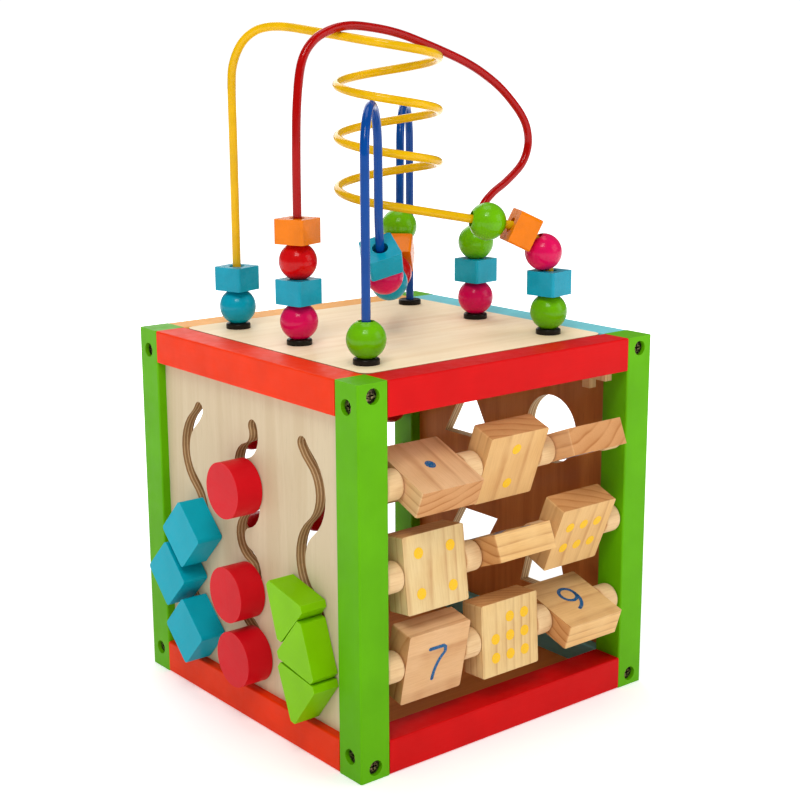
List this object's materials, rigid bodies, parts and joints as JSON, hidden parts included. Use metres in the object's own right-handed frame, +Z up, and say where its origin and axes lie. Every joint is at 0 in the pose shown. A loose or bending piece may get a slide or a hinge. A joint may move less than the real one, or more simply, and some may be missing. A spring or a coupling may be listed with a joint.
{
  "type": "shape sorter",
  "caption": "Wooden activity cube with turning tiles, slot sliders, an abacus side, a shape sorter panel and a lift-off lid carrying a bead maze on coloured wires.",
  "frame": {"origin": "centre of the cube's underside, on the floor board's lower face", "axes": "+Z up, -Y out of the tile side, +Y out of the abacus side, -X out of the slider side, +X out of the sorter side"},
  "size_m": [0.2147, 0.2133, 0.3647],
  "materials": {
    "green_paint": "satin green paint on wood",
    "orange_red_paint": "satin orange-red paint on wood",
    "red_paint": "satin red paint on wood",
    "light_blue_paint": "satin light blue paint on wood",
    "peach_paint": "satin peach paint on wood",
    "brown_board": "brown hardboard",
    "birch_plywood": "clear birch plywood",
    "screw_zinc": "dark zinc plate",
    "pine": "bare sanded pine",
    "abacus_red": "gloss red paint on wood",
    "teal_paint": "satin teal paint on wood",
    "leaf_green_paint": "satin green paint on wood",
    "black_plastic": "black plastic",
    "yellow_enamel": "gloss yellow enamel",
    "dark_red_enamel": "gloss dark red enamel",
    "blue_enamel": "gloss blue enamel",
    "teal_bead": "gloss teal paint on wood",
    "pink_bead": "gloss pink paint on wood",
    "red_bead": "gloss red paint on wood",
    "orange_bead": "gloss orange paint on wood",
    "green_bead": "gloss green paint on wood"
  },
  "bodies": {
    "frame": {"front_posts": "green_paint", "rear_posts": "green_paint", "orange_rails": "orange_red_paint", "red_rails": "red_paint", "blue_rails": "light_blue_paint", "peach_rails": "peach_paint", "floor_board": "brown_board", "slot_panel": "birch_plywood", "sorter_panel": "brown_board", "frame_screws": "screw_zinc", "cross_dowels": "pine", "spacer_beads": "pine", "lid_rests": "pine"},
    "lid": {"lid_board": "birch_plywood", "wire_ferrules": "black_plastic", "yellow_wire": "yellow_enamel", "red_wire": "dark_red_enamel", "blue_wire": "blue_enamel"},
    "tile_1": {"tile_1": "pine"},
    "tile_2": {"tile_2": "pine"},
    "tile_3": {"tile_3": "pine"},
    "tile_4": {"tile_4": "pine"},
    "tile_5": {"tile_5": "pine"},
    "tile_6": {"tile_6": "pine"},
    "tile_7": {"tile_7": "pine"},
    "tile_8": {"tile_8": "pine"},
    "tile_9": {"tile_9": "pine"},
    "abacus_row_1": {"abacus_row_1": "abacus_red"},
    "abacus_row_2": {"abacus_row_2": "abacus_red"},
    "abacus_row_3": {"abacus_row_3": "abacus_red"},
    "abacus_row_4": {"abacus_row_4": "abacus_red"},
    "abacus_row_5": {"abacus_row_5": "abacus_red"},
    "blue_slider_top": {"blue_slider_top": "teal_paint"},
    "blue_slider_middle": {"blue_slider_middle": "teal_paint"},
    "blue_slider_bottom": {"blue_slider_bottom": "teal_paint"},
    "red_slider_top": {"red_slider_top": "red_paint"},
    "red_slider_middle": {"red_slider_middle": "red_paint"},
    "red_slider_bottom": {"red_slider_bottom": "red_paint"},
    "green_slider_top": {"green_slider_top": "leaf_green_paint"},
    "green_slider_middle": {"green_slider_middle": "leaf_green_paint"},
    "green_slider_bottom": {"green_slider_bottom": "leaf_green_paint"},
    "yellow_left_beads": {"yellow_left_beads": "teal_bead"},
    "red_left_orange_block": {"red_left_orange_block": "orange_bead"},
    "red_left_red_ball": {"red_left_red_ball": "red_bead"},
    "red_left_teal_block": {"red_left_teal_block": "teal_bead"},
    "red_left_pink_ball": {"red_left_pink_ball": "pink_bead"},
    "red_right_green_ball": {"red_right_green_ball": "green_bead"},
    "red_right_teal_block": {"red_right_teal_block": "teal_bead"},
    "red_right_pink_ball": {"red_right_pink_ball": "pink_bead"},
    "blue_foot_green_ball": {"blue_foot_green_ball": "green_bead"},
    "bend_green_ball": {"bend_green_ball": "green_bead"},
    "bend_orange_block": {"bend_orange_block": "orange_bead"},
    "bend_pink_ball": {"bend_pink_ball": "pink_bead"},
    "yellow_right_teal_block": {"yellow_right_teal_block": "teal_bead"},
    "yellow_right_green_ball": {"yellow_right_green_ball": "green_bead"},
    "dip_red_ball": {"dip_red_ball": "red_bead"},
    "dip_teal_beads": {"dip_teal_beads": "teal_bead"},
    "dip_pink_ball": {"dip_pink_ball": "pink_bead"},
    "dip_orange_block": {"dip_orange_block": "orange_bead"},
    "dip_green_ball": {"dip_green_ball": "green_bead"}
  },
  "joints": [
    {"name": "lid_lift", "type": "slide", "parent": "frame", "child": "lid", "axis": [0, 0, 1], "range_m": [0, 0.06]},
    {"name": "tile_1_turn", "type": "hinge", "parent": "frame", "child": "tile_1", "pos_m": [-0.05085, -0.091, 0.146], "axis": [1, 0, 0], "continuous": true},
    {"name": "tile_2_turn", "type": "hinge", "parent": "frame", "child": "tile_2", "pos_m": [0, -0.091, 0.146], "axis": [1, 0, 0], "continuous": true},
    {"name": "tile_3_turn", "type": "hinge", "parent": "frame", "child": "tile_3", "pos_m": [0.05085, -0.091, 0.146], "axis": [1, 0, 0], "continuous": true},
    {"name": "tile_4_turn", "type": "hinge", "parent": "frame", "child": "tile_4", "pos_m": [-0.05085, -0.091, 0.099], "axis": [1, 0, 0], "continuous": true},
    {"name": "tile_5_turn", "type": "hinge", "parent": "frame", "child": "tile_5", "pos_m": [0, -0.091, 0.099], "axis": [1, 0, 0], "continuous": true},
    {"name": "tile_6_turn", "type": "hinge", "parent": "frame", "child": "tile_6", "pos_m": [0.05085, -0.091, 0.099], "axis": [1, 0, 0], "continuous": true},
    {"name": "tile_7_turn", "type": "hinge", "parent": "frame", "child": "tile_7", "pos_m": [-0.05085, -0.091, 0.052], "axis": [1, 0, 0], "continuous": true},
    {"name": "tile_8_turn", "type": "hinge", "parent": "frame", "child": "tile_8", "pos_m": [0, -0.091, 0.052], "axis": [1, 0, 0], "continuous": true},
    {"name": "tile_9_turn", "type": "hinge", "parent": "frame", "child": "tile_9", "pos_m": [0.05085, -0.091, 0.052], "axis": [1, 0, 0], "continuous": true},
    {"name": "abacus_1_slide", "type": "slide", "parent": "frame", "child": "abacus_row_1", "axis": [1, 0, 0], "range_m": [0, 0.038]},
    {"name": "abacus_2_slide", "type": "slide", "parent": "frame", "child": "abacus_row_2", "axis": [1, 0, 0], "range_m": [0, 0.038]},
    {"name": "abacus_3_slide", "type": "slide", "parent": "frame", "child": "abacus_row_3", "axis": [1, 0, 0], "range_m": [0, 0.038]},
    {"name": "abacus_4_slide", "type": "slide", "parent": "frame", "child": "abacus_row_4", "axis": [1, 0, 0], "range_m": [-0.038, 0]},
    {"name": "abacus_5_slide", "type": "slide", "parent": "frame", "child": "abacus_row_5", "axis": [1, 0, 0], "range_m": [0, 0.038]},
    {"name": "blue_top_slide", "type": "hinge", "parent": "frame", "child": "blue_slider_top", "pos_m": [-0.1, 0.067, 0.1015], "axis": [-1, 0, 0], "range_deg": [0, 72]},
    {"name": "blue_middle_slide", "type": "hinge", "parent": "frame", "child": "blue_slider_middle", "pos_m": [-0.1, 0.041, 0.066], "axis": [1, 0, 0], "range_deg": [0, 36]},
    {"name": "blue_bottom_slide", "type": "hinge", "parent": "frame", "child": "blue_slider_bottom", "pos_m": [-0.1, 0.067, 0.0305], "axis": [-1, 0, 0], "range_deg": [0, 20]},
    {"name": "red_top_slide", "type": "hinge", "parent": "frame", "child": "red_slider_top", "pos_m": [-0.1, 0.00023, 0.138], "axis": [1, 0, 0], "range_deg": [0, 150]},
    {"name": "red_middle_slide", "type": "hinge", "parent": "frame", "child": "red_slider_middle", "pos_m": [-0.1, 0.00477, 0.081], "axis": [-1, 0, 0], "range_deg": [0, 150]},
    {"name": "red_bottom_slide", "type": "hinge", "parent": "frame", "child": "red_slider_bottom", "pos_m": [-0.1, 0.00477, 0.043], "axis": [-1, 0, 0], "range_deg": [0, 106]},
    {"name": "green_top_slide", "type": "hinge", "parent": "frame", "child": "green_slider_top", "pos_m": [-0.1, -0.067, 0.1015], "axis": [1, 0, 0], "range_deg": [0, 100]},
    {"name": "green_middle_slide", "type": "slide", "parent": "frame", "child": "green_slider_middle", "axis": [0, 0, 1], "range_m": [0, 0.0055]},
    {"name": "green_bottom_slide", "type": "slide", "parent": "frame", "child": "green_slider_bottom", "axis": [0, 0, 1], "range_m": [0, 0.005]},
    {"name": "yellow_left_lift", "type": "slide", "parent": "lid", "child": "yellow_left_beads", "axis": [0, 0, 1], "range_m": [0, 0.095]},
    {"name": "red_left_orange_lift", "type": "slide", "parent": "lid", "child": "red_left_orange_block", "axis": [0, 0, 1], "range_m": [0, 0.06]},
    {"name": "red_left_red_lift", "type": "slide", "parent": "lid", "child": "red_left_red_ball", "axis": [0, 0, 1], "range_m": [0, 0.046]},
    {"name": "red_left_teal_lift", "type": "slide", "parent": "lid", "child": "red_left_teal_block", "axis": [0, 0, 1], "range_m": [0, 0.031]},
    {"name": "red_left_pink_lift", "type": "slide", "parent": "lid", "child": "red_left_pink_ball", "axis": [0, 0, 1], "range_m": [0, 0.016]},
    {"name": "red_right_green_lift", "type": "slide", "parent": "lid", "child": "red_right_green_ball", "axis": [0, 0, 1], "range_m": [0, 0.0025]},
    {"name": "red_right_teal_lift", "type": "slide", "parent": "lid", "child": "red_right_teal_block", "axis": [0, 0, 1], "range_m": [0, 0.003]},
    {"name": "red_right_pink_lift", "type": "slide", "parent": "lid", "child": "red_right_pink_ball", "axis": [0, 0, 1], "range_m": [0, 0.002]},
    {"name": "blue_foot_lift", "type": "slide", "parent": "lid", "child": "blue_foot_green_ball", "axis": [0, 0, 1], "range_m": [0, 0.085]},
    {"name": "bend_green_slide", "type": "slide", "parent": "lid", "child": "bend_green_ball", "axis": [-0.8692, 0.4629, 0.1738], "range_m": [0, 0.04]},
    {"name": "bend_orange_slide", "type": "hinge", "parent": "lid", "child": "bend_orange_block", "pos_m": [0.03479, -0.04884, 0.232], "axis": [-0.4701, -0.8826, 0], "range_deg": [0, 13]},
    {"name": "bend_pink_slide", "type": "hinge", "parent": "lid", "child": "bend_pink_ball", "pos_m": [0.03479, -0.04884, 0.232], "axis": [-0.4701, -0.8826, 0], "range_deg": [0, 10]},
    {"name": "yellow_right_teal_lift", "type": "slide", "parent": "lid", "child": "yellow_right_teal_block", "axis": [0, 0, 1], "range_m": [0, 0.003]},
    {"name": "yellow_right_green_lift", "type": "slide", "parent": "lid", "child": "yellow_right_green_ball", "axis": [0, 0, 1], "range_m": [0, 0.002]},
    {"name": "dip_red_swing", "type": "hinge", "parent": "lid", "child": "dip_red_ball", "pos_m": [-0.0005, 0, 0.271], "axis": [0.6932, -0.7207, 0], "range_deg": [-25, 12]},
    {"name": "dip_teal_swing", "type": "hinge", "parent": "lid", "child": "dip_teal_beads", "pos_m": [-0.0005, 0, 0.271], "axis": [0.6932, -0.7207, 0], "range_deg": [-25, 12]},
    {"name": "dip_pink_swing", "type": "hinge", "parent": "lid", "child": "dip_pink_ball", "pos_m": [-0.0005, 0, 0.271], "axis": [0.6932, -0.7207, 0], "range_deg": [-25, 12]},
    {"name": "dip_orange_swing", "type": "hinge", "parent": "lid", "child": "dip_orange_block", "pos_m": [-0.0005, 0, 0.271], "axis": [0.6932, -0.7207, 0], "range_deg": [-25, 12]},
    {"name": "dip_green_swing", "type": "hinge", "parent": "lid", "child": "dip_green_ball", "pos_m": [-0.0005, 0, 0.271], "axis": [0.6932, -0.7207, 0], "range_deg": [-25, 12]}
  ],
  "couplings": [
    {"joint": "blue_middle_slide", "follows": "blue_top_slide", "ratio": 0.5},
    {"joint": "blue_bottom_slide", "follows": "blue_top_slide", "ratio": 0.27},
    {"joint": "red_bottom_slide", "follows": "red_middle_slide", "ratio": 0.7},
    {"joint": "green_middle_slide", "follows": "green_top_slide", "m_per_rad": 0.003},
    {"joint": "green_bottom_slide", "follows": "green_top_slide", "m_per_rad": 0.0027},
    {"joint": "red_left_red_lift", "follows": "red_left_orange_lift", "ratio": 0.75},
    {"joint": "red_left_teal_lift", "follows": "red_left_orange_lift", "ratio": 0.5},
    {"joint": "red_left_pink_lift", "follows": "red_left_orange_lift", "ratio": 0.25},
    {"joint": "red_right_teal_lift", "follows": "red_right_green_lift", "ratio": 0.66},
    {"joint": "red_right_pink_lift", "follows": "red_right_green_lift", "ratio": 0.33},
    {"joint": "bend_orange_slide", "follows": "bend_green_slide", "rad_per_m": 5.4542},
    {"joint": "bend_pink_slide", "follows": "bend_green_slide", "rad_per_m": 4.1452},
    {"joint": "yellow_right_teal_lift", "follows": "bend_green_slide", "ratio": 0.07},
    {"joint": "yellow_right_green_lift", "follows": "bend_green_slide", "ratio": 0.035},
    {"joint": "dip_teal_swing", "follows": "dip_red_swing", "ratio": 1},
    {"joint": "dip_pink_swing", "follows": "dip_red_swing", "ratio": 1},
    {"joint": "dip_orange_swing", "follows": "dip_red_swing", "ratio": 1},
    {"joint": "dip_green_swing", "follows": "dip_red_swing", "ratio": 1}
  ]
}
